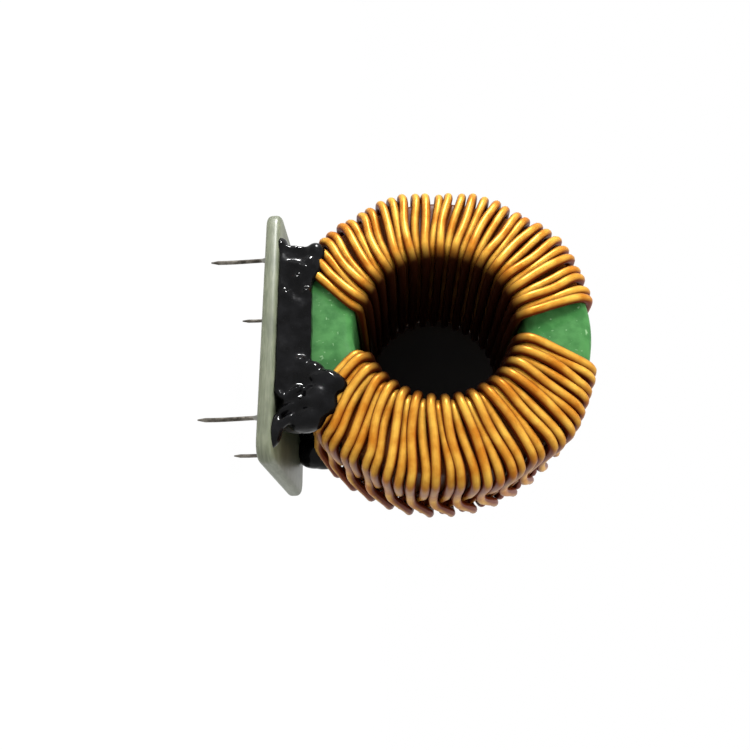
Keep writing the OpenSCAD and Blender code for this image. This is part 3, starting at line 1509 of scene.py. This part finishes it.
@dataclass
class Studio:
    """The floor, the dark card, the soft light and the camera at the photo's angle."""

    camera_mm: tuple[float, float, float] = (29.0, -65.95, 13.64)
    aim_mm: tuple[float, float, float] = (2.21, 0.0, 11.29)
    roll_deg: float = 2.3
    focal_px: float = 615.0
    floor_mm: float = 1200.0
    floor_paint: str = "#EDEDED"
    floor_glow: float = 1.04
    glow_share: float = 0.95
    card_r_mm: float = 10.0
    card_gap_mm: float = 0.3
    # The card's dark is painted shade for the inside of the hole.
    card_shade: str = "#1D1B1B"
    ambient: float = 0.22
    clip_far_mm: float = 10000.0
    lamps: tuple[Lamp, ...] = (
        Lamp("key", (-70, -95, 42), 40, 0.13),
        Lamp("glint", (-170, -120, 40), 25, 1.0, mirrored=True),
        Lamp("top", (30, -60, 190), 130, 0.26),
    )

    def build(self) -> None:
        """Sets up the floor, the card, the world, the lamps and the camera."""
        self.floor()
        self.card()
        self.world()
        for lamp in self.lamps:
            lamp.hang()
        self.camera()
        bpy.context.scene.view_settings.view_transform = "Standard"

    def floor(self) -> None:
        """Lays a pale floor at the pins' tips, near white but for a soft shadow."""
        deselect_all()
        bpy.ops.mesh.primitive_plane_add(
            size=self.floor_mm * MM, location=(0, 0, CAD_BOX[0].z)
        )
        bpy.ops.object.transform_apply(location=True, rotation=True, scale=True)
        floor = named("floor")
        material, shader, _ = new_material(
            "painted board, matt white",
            {"Roughness": 0.9, "Base Color": to_linear(self.floor_paint)},
        )
        tree = material.node_tree
        path = add_node(tree, "ShaderNodeLightPath")
        glow = add_node(
            tree, "ShaderNodeEmission", inputs={"Strength": self.floor_glow}
        )
        seen = self.seen_directly(tree, path)
        share = add_node(
            tree,
            "ShaderNodeMath",
            {"operation": "MULTIPLY"},
            {0: seen, 1: self.glow_share},
        )
        mixed = add_node(
            tree,
            "ShaderNodeMixShader",
            inputs={0: share.outputs[0], 1: shader.outputs[0], 2: glow.outputs[0]},
        )
        set_surface(tree, mixed.outputs[0])
        floor.data.materials.append(material)

    def card(self) -> None:
        """Stands a dark card behind the ring's hole, as painted shade seen through the
        hole. From behind, the card is clear.
        """
        deselect_all()
        bpy.ops.mesh.primitive_circle_add(
            vertices=48,
            radius=self.card_r_mm * MM,
            fill_type="NGON",
            location=(0, CAD_BOX[1].y + self.card_gap_mm * MM, AXIS_Z),
            rotation=(math.pi / 2, 0, 0),
        )
        bpy.ops.object.transform_apply(location=True, rotation=True, scale=True)
        card = named("hole_shade_card")
        material, shader, _ = new_material(
            "card, matt black",
            {"Roughness": 0.9, "Base Color": to_linear(self.card_shade)},
        )
        tree = material.node_tree
        facing = add_node(tree, "ShaderNodeNewGeometry")
        clear = add_node(tree, "ShaderNodeBsdfTransparent")
        mixed = add_node(
            tree,
            "ShaderNodeMixShader",
            inputs={
                0: facing.outputs["Backfacing"],
                1: shader.outputs[0],
                2: clear.outputs[0],
            },
        )
        set_surface(tree, mixed.outputs[0])
        card.data.materials.append(material)

    @staticmethod
    def seen_directly(
        tree: bpy.types.NodeTree, path: bpy.types.Node
    ) -> bpy.types.NodeSocket:
        """Tells rays that see the surround from rays that it lights.

        Args:
            tree: The node tree that takes the test.
            path: Its Light Path node.

        Returns:
            A socket with one for camera, glossy and transmission rays, or nought.
        """
        gloss = add_node(
            tree,
            "ShaderNodeMath",
            {"operation": "MAXIMUM"},
            {0: path.outputs["Is Glossy Ray"], 1: path.outputs["Is Transmission Ray"]},
        )
        seen = add_node(
            tree,
            "ShaderNodeMath",
            {"operation": "MAXIMUM"},
            {0: path.outputs["Is Camera Ray"], 1: gloss.outputs[0]},
        )
        return seen.outputs[0]

    def world(self) -> None:
        """Makes a white surround that lights the object more gently than it looks."""
        world = bpy.data.worlds.new("white surround")
        bpy.context.scene.world = world
        world.use_nodes = True
        tree = world.node_tree
        tree.nodes.clear()
        path = add_node(tree, "ShaderNodeLightPath")
        strength = add_node(
            tree,
            "ShaderNodeMapRange",
            inputs={"Value": self.seen_directly(tree, path), "To Min": self.ambient},
        )
        white = add_node(
            tree,
            "ShaderNodeBackground",
            inputs={"Color": (1, 1, 1, 1), "Strength": strength.outputs[0]},
        )
        add_node(tree, "ShaderNodeOutputWorld", inputs={"Surface": white.outputs[0]})

    def camera(self) -> None:
        """Stands the camera where the photograph was taken, turned on its side."""
        deselect_all()
        bpy.ops.object.camera_add(location=Vector(self.camera_mm) * MM)
        camera = bpy.context.object
        forward = (Vector(self.aim_mm) - Vector(self.camera_mm)).normalized()
        right = Vector((0, 0, 1))
        right = (right - right.dot(forward) * forward).normalized()
        up = right.cross(forward)
        turned = Matrix((right, up, -forward)).transposed()
        roll = Matrix.Rotation(math.radians(-self.roll_deg), 3, "Z")
        camera.matrix_world = Matrix.Translation(Vector(self.camera_mm) * MM) @ (
            turned @ roll
        ).to_4x4()
        camera.data.sensor_width = SENSOR_MM
        camera.data.lens = self.focal_px / FRAME_PIXELS * SENSOR_MM
        camera.data.clip_start = MM
        camera.data.clip_end = self.clip_far_mm * MM
        bpy.context.scene.camera = camera


def main() -> None:
    """Builds the choke's pieces in order, then the studio round it."""
    logging.basicConfig(level=logging.INFO, format="%(name)s: %(message)s")
    core = Core()
    core.build()
    copper = EnamelledCopper().material()
    tightest = min(sum(reach) for reach in REACHES_DEG.values())
    for side, (low, high) in REACHES_DEG.items():
        node = f"winding_{side.name.lower()}"
        Winding(node, side, low, high, tightest, core).build(copper)
    Board().build()
    Pins().build()
    Resin().build()
    Studio().build()


if __name__ == "__main__":
    main()
